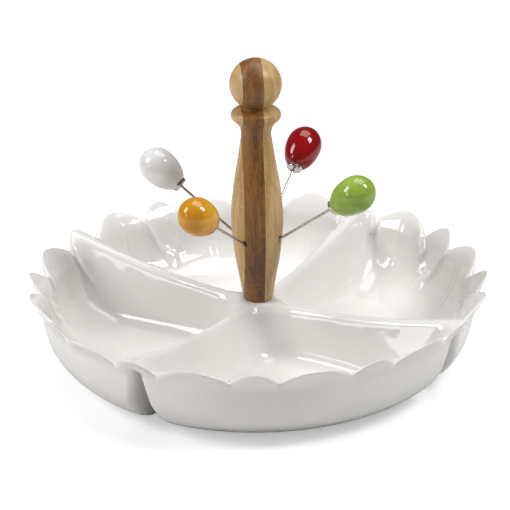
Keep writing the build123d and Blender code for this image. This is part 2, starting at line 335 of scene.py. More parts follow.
def metal_group() -> bpy.types.NodeTree:
    """Group for worked metal: handling marks and fine scratches.

    Returns:
        The group's node tree.
    """
    mark_scale, scratch_scale, scratch_stretch = 420.0, 1600.0, (1.0, 1.0, 7.0)
    takes = {"Clean": Socket.COLOUR, "Worn": Socket.COLOUR, "Low": Socket.VALUE, "High": Socket.VALUE}
    gives = {"Colour": Socket.COLOUR, "Roughness": Socket.VALUE, "Height": Socket.VALUE}
    sheet, into, out = new_group("metal_surface", takes, gives)
    place = sheet.add("TexCoord").outputs["Object"]
    marks = sheet.noise(place, mark_scale, 4.0, 0.6)
    stretched = sheet.add("Mapping", {"Vector": place, "Scale": scratch_stretch}).outputs[0]
    fine = sheet.noise(stretched, scratch_scale, 2.0)
    colour = sheet.mix(sheet.ramp(marks, 0.42, 0.7), into.outputs["Clean"], into.outputs["Worn"])
    spread = sheet.add("MapRange", {"Value": fine, "From Min": 0.3, "From Max": 0.7})
    sheet.tree.links.new(into.outputs["Low"], spread.inputs["To Min"])
    sheet.tree.links.new(into.outputs["High"], spread.inputs["To Max"])
    values = (("Colour", colour), ("Roughness", spread.outputs["Result"]), ("Height", fine))
    for name, value in values:
        sheet.tree.links.new(value, out.inputs[name])
    return sheet.tree


class SurfaceGroup(Enum):
    """The shared surface effects, by the name of their node group."""

    GLAZE = "glaze_surface"
    TIMBER = "timber_surface"
    METAL = "metal_surface"


def surface_group(which: SurfaceGroup) -> bpy.types.NodeTree:
    """The node group of a surface effect, built on first use."""
    makers = {
        SurfaceGroup.GLAZE: glaze_group,
        SurfaceGroup.TIMBER: timber_group,
        SurfaceGroup.METAL: metal_group,
    }
    return bpy.data.node_groups.get(which.value) or makers[which]()


def dressed(
    name: str, which: SurfaceGroup, group_values: dict, shader_values: dict, relief: float
) -> tuple[bpy.types.Material, NodeSheet, bpy.types.Node, bpy.types.Node]:
    """Start a material from a surface group.

    Args:
        name: the material's name.
        which: the surface effect.
        group_values: values of the group's inputs.
        shader_values: values of the shader's own sockets.
        relief: depth of the group's height in metres.

    Returns:
        The material, its sheet, the group node and the shader node.
    """
    material = bpy.data.materials.new(name)
    material.use_nodes = True
    sheet = NodeSheet(material.node_tree)
    shader = material.node_tree.nodes["Principled BSDF"]
    for key, value in shader_values.items():
        shader.inputs[key].default_value = value
    group = sheet.add("Group", node_tree=surface_group(which))
    for key, value in group_values.items():
        group.inputs[key].default_value = (*value, 1.0) if isinstance(value, tuple) else value
    bump = sheet.add("Bump", {"Height": group.outputs["Height"], "Strength": 1.0, "Distance": relief})
    sheet.tree.links.new(group.outputs["Colour"], shader.inputs["Base Color"])
    sheet.tree.links.new(group.outputs["Roughness"], shader.inputs["Roughness"])
    sheet.tree.links.new(bump.outputs["Normal"], shader.inputs["Normal"])
    return material, sheet, group, shader


# ---------------------------------------------------------------- finishes
@dataclass(frozen=True)
class StonewareGlaze:
    """Warm white glaze over stoneware, with a darker, matt band along the bottom of the foot."""

    name: str = "white_glaze"
    thick: Colour = (0.735, 0.718, 0.698)
    thin: Colour = (0.765, 0.75, 0.732)
    foot_band_colour: Colour = (0.42, 0.37, 0.31)
    foot_band_to: float = 0.0011
    glazed_from: float = 0.0017
    foot_band_roughness: float = 0.85
    drift_scale: float = 22.0
    ripple_scale: float = 95.0
    ior: float = 1.5
    relief: float = 0.00022

    def build(self) -> bpy.types.Material:
        """Make the material.

        Returns:
            Glaze everywhere above the foot, and matt clay on the foot that stands on the table.
        """
        values = {
            "Thick": self.thick,
            "Thin": self.thin,
            "Drift": self.drift_scale,
            "Ripple": self.ripple_scale,
        }
        gloss = {"IOR": self.ior}
        material, sheet, group, shader = dressed(self.name, SurfaceGroup.GLAZE, values, gloss, self.relief)
        place = sheet.add("TexCoord").outputs["Object"]
        height = sheet.add("SeparateXYZ", {0: place}).outputs["Z"]
        # a darker, matt band on the bottom millimetre or two of the foot, faded into the glaze above
        glazed = sheet.ramp(height, self.foot_band_to, self.glazed_from)
        colour = sheet.mix(glazed, self.foot_band_colour, group.outputs["Colour"])
        blend = {"Factor": glazed, "A": self.foot_band_roughness, "B": group.outputs["Roughness"]}
        rough = sheet.add("Mix", blend)
        sheet.tree.links.new(colour, shader.inputs["Base Color"])
        sheet.tree.links.new(rough.outputs["Result"], shader.inputs["Roughness"])
        return material


@dataclass(frozen=True)
class BeadGlaze:
    """Thick coloured glaze on an egg-shaped bead."""

    name: str
    thick: Colour
    thin: Colour
    drift_scale: float = 55.0
    ripple_scale: float = 160.0
    ior: float = 1.5
    relief: float = 0.00008

    def build(self) -> bpy.types.Material:
        """Make the material.

        Returns:
            The bead's glaze.
        """
        values = {
            "Thick": self.thick,
            "Thin": self.thin,
            "Drift": self.drift_scale,
            "Ripple": self.ripple_scale,
        }
        return dressed(self.name, SurfaceGroup.GLAZE, values, {"IOR": self.ior}, self.relief)[0]


@dataclass(frozen=True)
class LacqueredTimber:
    """Satin lacquer over planed timber."""

    name: str
    early: Colour
    late: Colour
    fleck: Colour
    shift: float
    ior: float = 1.45
    relief: float = 0.00012

    def build(self) -> bpy.types.Material:
        """Make the material."""
        values = {"Early": self.early, "Late": self.late, "Fleck": self.fleck, "Shift": self.shift}
        return dressed(self.name, SurfaceGroup.TIMBER, values, {"IOR": self.ior}, self.relief)[0]


@dataclass(frozen=True)
class WorkedMetal:
    """A bright metal with handling marks."""

    name: str
    clean: Colour
    worn: Colour
    smoothest: float
    roughest: float
    relief: float = 0.00002

    def build(self) -> bpy.types.Material:
        """Make the material."""
        values = {"Clean": self.clean, "Worn": self.worn, "Low": self.smoothest, "High": self.roughest}
        return dressed(self.name, SurfaceGroup.METAL, values, {"Metallic": 1.0}, self.relief)[0]


@dataclass(frozen=True)
class SealRubber:
    """Matt black moulded rubber."""

    name: str = "seal_rubber"
    black: Colour = (0.018, 0.018, 0.019)
    dusty: Colour = (0.05, 0.05, 0.048)
    smoothest: float = 0.6
    roughest: float = 0.8
    relief: float = 0.00006

    def build(self) -> bpy.types.Material:
        """Make the material."""
        values = {"Clean": self.black, "Worn": self.dusty, "Low": self.smoothest, "High": self.roughest}
        return dressed(self.name, SurfaceGroup.METAL, values, {"Metallic": 0.0}, self.relief)[0]


@dataclass(frozen=True)
class StudioPaper:
    """Seamless white paper."""

    name: str = "studio_paper"
    tone: Colour = (0.8, 0.8, 0.8)
    fibre: Colour = (0.83, 0.83, 0.83)
    backlight: float = 0.42
    roughness: float = 0.9
    specular: float = 0.1

    def build(self) -> bpy.types.Material:
        """Make the material.

        Returns:
            Matt paper that looks lit from behind to the camera and gives the object no light of its own.
        """
        material = bpy.data.materials.new(self.name)
        material.use_nodes = True
        sheet = NodeSheet(material.node_tree)
        shader = material.node_tree.nodes["Principled BSDF"]
        shader.inputs["Roughness"].default_value = self.roughness
        shader.inputs["Specular IOR Level"].default_value = self.specular
        place = sheet.add("TexCoord").outputs["Object"]
        share = sheet.ramp(sheet.noise(place, 40.0, 3.0), 0.3, 0.7)
        sheet.tree.links.new(sheet.mix(share, self.tone, self.fibre), shader.inputs["Base Color"])
        seen = sheet.maths("MULTIPLY", sheet.add("LightPath").outputs["Is Camera Ray"], self.backlight)
        shader.inputs["Emission Color"].default_value = WHITE
        sheet.tree.links.new(seen, shader.inputs["Emission Strength"])
        return material


@dataclass
class Finishes:
    """Every finish of the server, built once."""

    made: dict[str, bpy.types.Material] = field(default_factory=dict)

    def build(self) -> None:
        """Make each material and keep it by its slot's name."""
        wanted = (
            StonewareGlaze(),
            LacqueredTimber(
                name="light_wood",
                early=(0.58, 0.375, 0.165),
                late=(0.41, 0.24, 0.085),
                fleck=(0.68, 0.48, 0.26),
                shift=0.31,
            ),
            LacqueredTimber(
                name="dark_wood",
                early=(0.27, 0.112, 0.024),
                late=(0.125, 0.048, 0.011),
                fleck=(0.38, 0.2, 0.065),
                shift=0.77,
            ),
            WorkedMetal("steel", (0.52, 0.5, 0.47), (0.36, 0.34, 0.32), smoothest=0.16, roughest=0.34),
            WorkedMetal("ferrule_metal", (0.6, 0.58, 0.56), (0.42, 0.4, 0.38), smoothest=0.12, roughest=0.26),
            WorkedMetal("brass", (0.72, 0.53, 0.25), (0.5, 0.34, 0.14), smoothest=0.2, roughest=0.35),
            SealRubber(),
            BeadGlaze("white_bead", (0.72, 0.71, 0.705), (0.79, 0.785, 0.78)),
            BeadGlaze("red_bead", (0.21, 0.0015, 0.004), (0.28, 0.003, 0.006)),
            BeadGlaze("green_bead", (0.235, 0.36, 0.045), (0.30, 0.42, 0.07)),
            BeadGlaze("amber_bead", (0.56, 0.25, 0.010), (0.66, 0.33, 0.018)),
        )
        for finish in wanted:
            self.made[finish.name] = finish.build()


# ---------------------------------------------------------------- the dish
@dataclass
class DishForm:
    """The sizes that the inside and the outside of the dish share, and the curves they give."""

    outer_wall: tuple[Point, ...] = (
        (0, 114), (5, 124), (12, 132.5), (22, 139), (34, 142), (45, 144.3), (52, 148.4), (58, 153.4)
    )
    inner_wall: tuple[Point, ...] = (
        (6, 108), (11, 118.5), (22, 129.5), (34, 135.2), (45, 138.3), (52, 143.0), (58, 149.6)
    )
    tip_z: float = 57.2
    cusp_z: float = 47.8
    petal_pitch: float = 30.0
    wide_half: float = 9.25
    petal_r: float = 147.0
    narrow_blunt: float = 0.85
    wide_blunt: float = 1.3
    hub_r: float = 12.5
    hub_z: float = 39.4
    hub_blend_r: float = 26.0
    crest_hub_z: float = 38.0
    screw_hole_r: float = 3.0
    narrow_steps: int = 11
    wide_steps: int = 37

    @property
    def narrow_half(self) -> float:
        """Half the angle of a narrow petal."""
        return self.petal_pitch / 2 - self.wide_half

    def from_narrow(self, angle: float) -> float:
        """Angle from the nearest narrow petal's middle, in degrees, never negative."""
        turn = angle % self.petal_pitch
        return min(turn, self.petal_pitch - turn)

    def rim_z(self, angle: float) -> float:
        """Height of the rim, an arch over each petal with a rounded tip and straighter flanks.

        Args:
            angle: position round the dish, in degrees.

        Returns:
            The height of the petal's edge there.
        """
        off = self.from_narrow(angle)
        half, blunt = self.narrow_half, self.narrow_blunt
        if off > half:
            off = self.petal_pitch / 2 - off
            half, blunt = self.wide_half, self.wide_blunt
        across = min(off / half, 1.0)
        fall = (hypot(across, blunt) - blunt) / (hypot(1.0, blunt) - blunt)
        return self.tip_z - (self.tip_z - self.cusp_z) * fall

    def outer_r(self, z: float) -> float:
        """Radius of the outer wall at a height."""
        return follow(self.outer_wall, z)

    def inner_r(self, z: float) -> float:
        """Radius of the inner wall at a height, before the petals' relief."""
        return follow(self.inner_wall, z)

    def lip_r(self, z: float) -> float:
        """Radius midway between the walls at a height."""
        return (self.outer_r(z) + self.inner_r(z)) / 2

    def crest_z(self, r: float) -> float:
        """Height of a divider's crest, level on the hub and meeting the rim at its outer end.

        Args:
            r: distance from the dish's axis.

        Returns:
            The height of the crest there.
        """
        end = self.lip_r(self.tip_z)
        crest = self.crest_hub_z + (self.tip_z - self.crest_hub_z) * (r / end) ** 2
        seat = self.hub_z - self.crest_hub_z
        return crest + seat * (1 - smoothstep(self.hub_r, self.hub_blend_r, r)) * (1 - (r / end) ** 2)

    def rim_angles(self) -> list[float]:
        """Angles of the rim's vertices over one quadrant.

        Returns:
            The angles in degrees, from 0 to 90, with one on every cusp.
        """
        angles = spaced(0, self.narrow_half, self.narrow_steps // 2)
        middle = self.petal_pitch / 2
        while middle < 90:
            angles += spaced(middle - self.wide_half, middle + self.wide_half, self.wide_steps)[1:]
            after = middle + self.wide_half
            end = min(90.0, after + 2 * self.narrow_half)
            steps = self.narrow_steps if end < 90 else self.narrow_steps // 2
            angles += spaced(after, end, steps)[1:]
            middle += self.petal_pitch
        return angles


@dataclass
class PetalRelief:
    """Modelling of the petals on the inside of the wall."""

    form: DishForm
    cup: float = 1.8
    ridge: float = 1.5
    ridge_width: float = 0.8
    ridge_inset: float = 0.9
    recess: float = 2.4
    recess_before: float = 0.55
    recess_after: float = 0.5
    recess_grown: float = 2.0
    meet_z: float = 24.0
    taper: float = 0.62
    fade_from_z: float = 9.0
    fade_to_z: float = 22.0
    vein_offset: float = 0.95
    vein_width: float = 0.5
    vein_depth: float = 0.42
    vein_end_below_tip: Point = (8.0, 2.0)

    def narrow_edge(self, z: float) -> float:
        """Half the angle that a narrow petal still shows between its wide neighbours at a height."""
        rise = max(0.0, (z - self.meet_z) / (self.form.cusp_z - self.meet_z))
        return self.form.narrow_half * min(1.0, rise) ** self.taper

    def depth(self, angle: float, z: float) -> float:
        """How far the wall is let back from its plain surface.

        Args:
            angle: position round the dish, in degrees.
            z: height.

        Returns:
            The distance outward in millimetres; a ridge gives a negative one.
        """
        off = self.form.from_narrow(angle)
        edge = self.narrow_edge(z)
        half = self.form.petal_pitch / 2
        across = (half - off) / (half - edge) if off > edge else 1.0
        cup = self.cup * (1 - min(1.0, across) ** 2)
        ridge = self.ridge * exp(-(((off - edge - self.ridge_inset) / self.ridge_width) ** 2))
        inside_edge = 1 - smoothstep(edge - self.recess_before, edge + self.recess_after, off)
        back = self.recess * inside_edge * smoothstep(0, self.recess_grown, edge)
        from_middle = half - off
        vein = self.vein_depth * exp(-(((from_middle - self.vein_offset) / self.vein_width) ** 2))
        fade_low, fade_high = (self.form.tip_z - below for below in self.vein_end_below_tip)
        tip_fade = 1 - smoothstep(fade_low, fade_high, z)
        low_fade = smoothstep(self.fade_from_z, self.fade_to_z, z)
        return low_fade * (cup - ridge + back + vein * tip_fade)


@dataclass
class WallLoop:
    """One side of the stoneware over a quadrant, as closed loops of vertices round a compartment.

    Each column of vertices leaves a centre point in the compartment. It runs over the floor, up the wall and
    over the top edge, and ends on the quadrant's border.
    """

    form: DishForm
    side_growth: float
    side_round: float
    round_depth: float
    floor_z: float
    floor_round: float
    hub_reach: Callable[[float], float]
    wall_reach: Callable[[float, float], float]
    border: list[Vector]
    tops: list[float]
    rounded_wall: bool
    floor_steps: int
    fillet_steps: int
    wall_steps: int
    round_steps: int
    soft_low: float = 10.0
    soft_high: float = 20.0
    soft_rise: float = 1.5
    least_share: float = 0.02
    lift: float = 0.01
    middle: float = 60.0
    wall_passes: int = 3

    def rows(self) -> int:
        """Number of vertices in a column."""
        return self.floor_steps + self.fillet_steps + self.wall_steps + self.round_steps + 2

    def reach(self, way: Vector, z: float, depth: float, turn: float, soft: float) -> float:
        """Distance from the centre to the wall along one column.

        Args:
            way: the column's direction in plan.
            z: height.
            depth: depth below the column's top.
            turn: angle round the top edge's rounding, a quarter turn below it.
            soft: how sharply neighbouring faces meet; a large value is sharp.

        Returns:
            The distance in plan.
        """
        half_width = self.side_growth * depth + self.side_round * sin(turn)
        reaches = []
        for part in (way.x, way.y):
            reaches.append((self.middle - half_width) / -part if part < -TINY else inf)
        reaches.append(self.hub_distance(way, z, turn))
        along = self.middle * (way.x + way.y)
        wall = self.form.outer_r(z)
        for _ in range(self.wall_passes):
            wide = along * along - 2 * self.middle * self.middle + wall * wall
            distance = -along + sqrt(max(0.0, wide))
            angle = degrees(atan2(self.middle + way.y * distance, self.middle + way.x * distance))
            rounding = self.rounded_wall and turn < QUARTER_TURN
            wall = self.lip(angle, z, turn) if rounding else self.wall_reach(angle, z)
        reaches.append(distance)
        near = min(reaches)
        return near * sum((near / r) ** soft for r in reaches) ** (-1 / soft)

    def lip(self, angle: float, z: float, turn: float) -> float:
        """Radius of the wall where it rounds over into the rim."""
        middle = self.form.lip_r(z)
        return middle + (self.wall_reach(angle, z) - middle) * sin(turn)

    def hub_distance(self, way: Vector, z: float, turn: float) -> float:
        """Distance from the centre to the hub's face along one column.

        Args:
            way: the column's direction in plan.
            z: height.
            turn: angle round the top edge's rounding.

        Returns:
            The distance in plan, without end for a column that leads away from the hub.
        """
        towards = -(way.x + way.y) / sqrt(2)
        if towards <= TINY:
            return inf
        face = self.hub_reach(z) - self.side_round * (1 - sin(turn))
        return (self.middle * sqrt(2) - face) / towards

    def place(self, column: int, row: int) -> Vector:
        """Place of one vertex.

        Args:
            column: the column's number, which is its border point's.
            row: the vertex's number, from the centre outward.

        Returns:
            The vertex's place in millimetres.
        """
        end = self.border[column]
        top = self.tops[column]
        if row == self.rows() - 1:
            return end
        flat = Vector((end.x - self.middle, end.y - self.middle, 0))
        way = flat.normalized()
        wall_foot = self.floor_z + self.floor_round
        wall_top = top - self.round_depth
        if row < self.floor_steps:
            share = sin(row / self.floor_steps * QUARTER_TURN)
            last = self.reach(way, self.floor_z + self.lift, top - self.floor_z, QUARTER_TURN, self.soft_low)
            distance = share * (last - self.floor_round)
            return Vector((self.middle + way.x * distance, self.middle + way.y * distance, self.floor_z))
        row -= self.floor_steps
        if row < self.fillet_steps:
            turn = (1 - row / self.fillet_steps) * QUARTER_TURN
            z = self.floor_z + self.floor_round * (1 - sin(turn))
            wall = self.reach(way, z, top - z, QUARTER_TURN, self.soft_low)
            distance = wall - self.floor_round * (1 - cos(turn))
            return Vector((self.middle + way.x * distance, self.middle + way.y * distance, z))
        row -= self.fillet_steps
        if row < self.wall_steps:
            share = row / self.wall_steps
            z = wall_foot + (wall_top - wall_foot) * share
            soft = self.soft_low + (self.soft_high - self.soft_low) * share
            distance = self.reach(way, z, top - z, QUARTER_TURN, soft)
            return Vector((self.middle + way.x * distance, self.middle + way.y * distance, z))
        row -= self.wall_steps
        share = row / self.round_steps
        turn = (1 - share) * QUARTER_TURN
        depth = self.round_depth * (1 - cos(turn))
        soft = self.soft_high / max(self.least_share, 1 - share) ** self.soft_rise
        distance = self.reach(way, top - depth, depth, turn, soft)
        return Vector((self.middle + way.x * distance, self.middle + way.y * distance, top - depth))


@dataclass
class PetalDish:
    """The stoneware: four compartments, the rim and the grooves under the dividers."""

    form: DishForm = field(default_factory=DishForm)
    floor_z: float = 6.0
    pocket_growth: float = 0.33
    crest_round: float = 3.2
    crest_depth: float = 4.4
    pocket_fillet: float = 9.0
    hub_face_r: float = 13.5
    hub_face_growth: float = 0.27
    web: float = 6.5
    groove_growth: float = 0.185
    groove_round: float = 1.6
    foot_round: float = 1.6
    recess_top_r: float = 11.0
    recess_foot_r: float = 16.5
    roof_z: float = 31.6
    belt_z: float = 42.5
    mouth_blend: tuple[float, float] = (1.2, 5.2)
    mouth_passes: int = 6
    soften_r: float = 7.5
    soften_drop: float = 1.5
    soften_up_to: float = 3.0
    soften_passes: int = 6
    crest_steps: int = 56
    hub_steps: int = 8
    lip_wall_steps: int = 7
    lip_round_steps: int = 6
    weld_gap: float = 0.02
    least_edge: float = 0.005
    wobble: float = 0.3
    wobble_seed: int = 11
    slow_size: float = 47.0
    quick_size: float = 17.0
    quick_share: float = 0.35
    quick_start: tuple[float, float, float] = (9.1, 4.2, 7.7)
    wobble_heights: Point = (0.5, 9.0)
    wobble_radii: Point = (14.0, 40.0)
    most_rise: float = 0.25

    def path(
        self, inner: float, outer: float, height: Callable[[float], float], arc: list[Vector]
    ) -> list[Vector]:
        """Border of a quadrant: out along X, round an arc, in along Y and round the screw hole.

        Args:
            inner: radius of the screw hole.
            outer: radius of the arc's ends.
            height: height of the border along the dividers, by radius.
            arc: the border round the outside, from X to Y.

        Returns:
            The border's points; the last repeats the first, so that the loop closes.
        """
        radii = spaced(inner, outer, self.crest_steps)[:-1]
        out = [Vector((r, 0, height(r))) for r in radii]
        back = [Vector((0, p.x, p.z)) for p in reversed(out)]
        hole = [
            Vector((inner * cos(a), inner * sin(a), height(inner)))
            for a in spaced(QUARTER_TURN, 0, self.hub_steps)[1:]
        ]
        return out + arc + back + hole

    def inside(self) -> WallLoop:
        """Columns of the compartment side.

        Returns:
            The loops from the compartment's floor to the crests and the rim.
        """
        form = self.form
        relief = PetalRelief(form)
        rim = []
        for angle in form.rim_angles():
            z = form.rim_z(angle)
            r = form.lip_r(z)
            rim.append(Vector((r * cos(radians(angle)), r * sin(radians(angle)), z)))
        border = self.path(form.screw_hole_r, form.lip_r(form.tip_z), form.crest_z, rim)
        return WallLoop(
            form=form,
            side_growth=self.pocket_growth,
            side_round=self.crest_round,
            round_depth=self.crest_depth,
            floor_z=self.floor_z,
            floor_round=self.pocket_fillet,
            hub_reach=lambda z: self.hub_face_r + self.hub_face_growth * (form.hub_z - z),
            wall_reach=lambda angle, z: form.inner_r(z) + relief.depth(angle, z),
            border=border,
            tops=[p.z for p in border],
            rounded_wall=True,
            floor_steps=7,
            fillet_steps=7,
            wall_steps=17,
            round_steps=6,
        )

    def roof_at(self, r: float) -> float:
        """Height of a groove's roof at a radius."""
        return self.form.crest_z(max(r, self.form.hub_blend_r)) - self.web

    def mouth(self) -> Point:
        """Place where a groove opens through the outer wall.

        Returns:
            The radius and the height of the groove's outer end.
        """
        z = self.roof_at(self.form.petal_r)
        for _ in range(self.mouth_passes):
            z = self.roof_at(self.form.outer_r(z))
        return self.form.outer_r(z), z

    def belt_at(self, angle: float) -> float:
        """Height of the line where the lip gives way to the compartments' outsides.

        Args:
            angle: position round the dish, in degrees.

        Returns:
            The height, which rises to the groove's end over each divider.
        """
        off = min(angle % 90, 90 - angle % 90)
        low, high = self.mouth_blend
        return self.belt_z + (self.mouth()[1] - self.belt_z) * (1 - smoothstep(low, high, off))

    def outside(self) -> WallLoop:
        """Columns of the underside.

        Returns:
            The loops from the foot to the grooves' roofs and the lip.
        """
        form = self.form
        belt = []
        for angle in form.rim_angles():
            z = self.belt_at(angle)
            r = form.outer_r(z)
            belt.append(Vector((r * cos(radians(angle)), r * sin(radians(angle)), z)))
        border = self.path(form.screw_hole_r, self.mouth()[0], self.roof_at, belt)
        flare = (self.recess_foot_r - self.recess_top_r) / self.roof_z
        return WallLoop(
            form=form,
            side_growth=self.groove_growth,
            side_round=self.groove_round,
            round_depth=2.0,
            floor_z=0.0,
            floor_round=self.foot_round,
            hub_reach=lambda z: self.recess_top_r + flare * (self.roof_z - z),
            wall_reach=lambda angle, z: form.outer_r(z),
            border=border,
            tops=[p.z for p in border],
            rounded_wall=False,
            floor_steps=5,
            fillet_steps=5,
            wall_steps=15,
            round_steps=4,
            soft_low=34.0,
            soft_high=50.0,
        )

    def lip_place(self, column: int, row: int) -> Vector:
        """Place of a vertex on the outside of the lip.

        Args:
            column: the number of its angle round the rim.
            row: the vertex's number, from the belt up to the rim.

        Returns:
            The vertex's place in millimetres.
        """
        form = self.form
        angle = form.rim_angles()[column]
        rim = form.rim_z(angle)
        if row < self.lip_wall_steps:
            foot = self.belt_at(angle)
            z = foot + (rim - self.crest_depth - foot) * row / self.lip_wall_steps
            r = form.outer_r(z)
        else:
            turn = (1 - (row - self.lip_wall_steps) / self.lip_round_steps) * QUARTER_TURN
            z = rim - self.crest_depth * (1 - cos(turn))
            r = form.lip_r(z) + (form.outer_r(z) - form.lip_r(z)) * sin(turn)
        return Vector((r * cos(radians(angle)), r * sin(radians(angle)), z))

    def hole_place(self, column: int, row: int) -> Vector:
        """Place of a vertex on the screw hole's wall.

        Args:
            column: the vertex's number round the quadrant.
            row: 0 at the grooves' roof and 1 at the hub's seat.

        Returns:
            The vertex's place in millimetres.
        """
        angle = column / self.hub_steps * QUARTER_TURN
        r = self.form.screw_hole_r
        z = self.roof_at(r) if row == 0 else self.form.crest_z(r)
        return Vector((r * cos(angle), r * sin(angle), z))

    def handmade(self, bm: bmesh.types.BMesh) -> None:
        """Let the whole form wander a little, as cast and sponged stoneware does.

        Args:
            bm: the dish, whose foot and hub stay true.
        """
        noise.seed_set(self.wobble_seed)
        start = Vector(self.quick_start)
        for vert in bm.verts:
            p = vert.co / MM
            free = smoothstep(*self.wobble_heights, p.z) * smoothstep(*self.wobble_radii, hypot(p.x, p.y))
            slow = noise.noise_vector(p / self.slow_size) * self.wobble
            quick = noise.noise_vector(p / self.quick_size + start) * self.wobble * self.quick_share
            shift = (slow + quick) * free
            shift.z = min(shift.z, self.most_rise)
            vert.co += shift * MM

    def build(self, finishes: Finishes) -> bpy.types.Object:
        """Build the dish.

        Args:
            finishes: the server's finishes.

        Returns:
            The finished piece, standing for the frame's dish.
        """
        bm = bmesh.new()
        for loop in (self.inside(), self.outside()):
            warped_grid(bm, len(loop.border), loop.rows(), loop.place)
        lip_rows = self.lip_wall_steps + self.lip_round_steps + 1
        warped_grid(bm, len(self.form.rim_angles()), lip_rows, self.lip_place)
        warped_grid(bm, self.hub_steps + 1, 2, self.hole_place)
        quarter = bm.verts[:] + bm.edges[:] + bm.faces[:]
        for turn in (1, 2, 3):
            made = bmesh.ops.duplicate(bm, geom=quarter)["geom"]
            verts = [item for item in made if isinstance(item, bmesh.types.BMVert)]
            quarters = Matrix.Rotation(turn * QUARTER_TURN, 3, "Z")
            bmesh.ops.rotate(bm, verts=verts, cent=(0, 0, 0), matrix=quarters)
        bmesh.ops.remove_doubles(bm, verts=bm.verts[:], dist=self.weld_gap * MM)
        bmesh.ops.dissolve_degenerate(bm, edges=bm.edges[:], dist=self.least_edge * MM)
        self.soften_mouths(bm)
        self.handmade(bm)
        bmesh.ops.recalc_face_normals(bm, faces=bm.faces[:])
        open_edges = sum(not edge.is_manifold for edge in bm.edges)
        LOG.info("dish: %d faces, %d open edges", len(bm.faces), open_edges)
        piece = piece_from(bm, "petal_dish", finishes.made["white_glaze"], None)
        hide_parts("dish")
        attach(piece, "server")
        return piece

    def soften_mouths(self, bm: bmesh.types.BMesh) -> None:
        """Round the edge where each groove opens under the rim.

        Args:
            bm: the dish.
        """
        r, z = self.mouth()
        for turn in range(4):
            a = turn * QUARTER_TURN
            mouth = Vector((r * cos(a), r * sin(a), z - self.soften_drop)) * MM
            near = [v for v in bm.verts if (v.co - mouth).length < self.soften_r * MM]
            near = [v for v in near if v.co.z < (z + self.soften_up_to) * MM]
            for _ in range(self.soften_passes):
                bmesh.ops.smooth_vert(
                    bm, verts=near, factor=0.5, use_axis_x=True, use_axis_y=True, use_axis_z=True
                )


# ---------------------------------------------------------------- the picks
class BeadColour(Enum):
    """The four bead colours."""

    WHITE = "white"
    RED = "red"
    GREEN = "green"
    AMBER = "amber"


@dataclass
class CocktailPick:
    """A steel pin with a plated ferrule and a glazed egg-shaped bead."""

    colour: BeadColour
    axis_z: float = 71.9
    pin_tip: float = 6.3
    pin_r: float = 0.9
    pin_into_head: float = 4.0
    point_length: float = 6.0
    point_bulge: float = 0.8
    ferrule_foot: float = 66.5
    ferrule_r: float = 5.1
    ferrule_face: tuple[Point, ...] = ((0, 0.75), (1.5, 0.72), (3.4, 0.5))
    ferrule_roll: float = 0.55
    roll_start: float = -0.9
    ferrule_skirt: tuple[Point, ...] = ((0.05, 1.2), (0.25, 2.3), (0.32, 2.7), (0.22, 2.9), (-0.2, 2.9))
    head_start: float = 68.5
    head_length: float = 31.2
    head_r: float = 12.0
    head_end_r: float = 5.0
    widest: float = 17.6

    def placement(self) -> Matrix:
        """Turn and place of the pick in the frame, from its joint's axis.

        Returns:
            The matrix that takes a shape turned about Z to the pick's place.
        """
        joint = next(j for j in frame["joints"] if j["child"] == f"pick_{self.colour.value}")
        way = Vector(joint["axis"]).normalized()
        turn = Vector((0, 0, 1)).rotation_difference(way).to_matrix().to_4x4()
        return Matrix.Translation((0, 0, self.axis_z * MM)) @ turn

    def pin_outline(self) -> list[Point]:
        """Outline of the pin: a ground point, the shaft and the end inside the bead.

        Returns:
            The radius and the distance along the pick at each point.
        """
        length, bulge = self.point_length, self.point_bulge
        point = [(self.pin_r * s**bulge, self.pin_tip + length * s) for s in spaced(0, 1, 8)]
        end = self.head_start + self.pin_into_head
        shaft = [(self.pin_r, s) for s in spaced(self.pin_tip + length, end, 12)[1:]]
        return point + shaft + [(0, end)]

    def ferrule_outline(self) -> list[Point]:
        """Outline of the ferrule: a dished face with a rolled edge, and a skirt round the bead's end.

        Returns:
            The radius and the distance along the pick at each point.
        """
        foot, roll = self.ferrule_foot, self.ferrule_roll
        face = [(r, foot + up) for r, up in self.ferrule_face]
        rolled = [
            (self.ferrule_r - roll + roll * sin(a), foot + roll - roll * cos(a))
            for a in spaced(self.roll_start, QUARTER_TURN, 8)
        ]
        skirt = [(self.ferrule_r + out, foot + up) for out, up in self.ferrule_skirt]
        return face + rolled + skirt + [(0, skirt[-1][1])]

    def head_outline(self) -> list[Point]:
        """Outline of the bead: two half ellipses that meet at its widest place.

        Returns:
            The radius and the distance along the pick at each point.
        """
        end_sine = self.head_end_r / self.head_r
        end_cosine = sqrt(1 - end_sine**2)
        waist = self.head_start + self.widest
        near_reach = self.widest / end_cosine
        start = pi - atan2(end_sine, end_cosine)
        near = [(self.head_r * sin(a), waist + near_reach * cos(a)) for a in spaced(start, QUARTER_TURN, 20)]
        far_reach = self.head_length - self.widest
        far = [(self.head_r * sin(a), waist + far_reach * cos(a)) for a in spaced(QUARTER_TURN, 0, 24)[1:-1]]
        return [(0, self.head_start)] + near + far + [(0, self.head_start + self.head_length)]

    def build(self, finishes: Finishes) -> list[bpy.types.Object]:
        """Build the pick's three pieces.

        Args:
            finishes: the server's finishes.

        Returns:
            The pin, the ferrule and the bead.
        """
        name = f"pick_{self.colour.value}"
        place = self.placement()
        wanted = (
            ("pin", self.pin_outline(), 32, "steel", 40.0),
            ("ferrule", self.ferrule_outline(), 72, "ferrule_metal", 60.0),
            ("head", self.head_outline(), 96, f"{self.colour.value}_bead", 75.0),
        )
        pieces = []
        for part, outline, steps, slot, sharp in wanted:
            bm = turned_solid(outline, steps, place)
            piece = piece_from(bm, f"{name}_{part}_fine", finishes.made[slot], sharp)
            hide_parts(f"{name}_{part}")
            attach(piece, name)
            pieces.append(piece)
        LOG.info("%s: %d pieces", name, len(pieces))
        return pieces


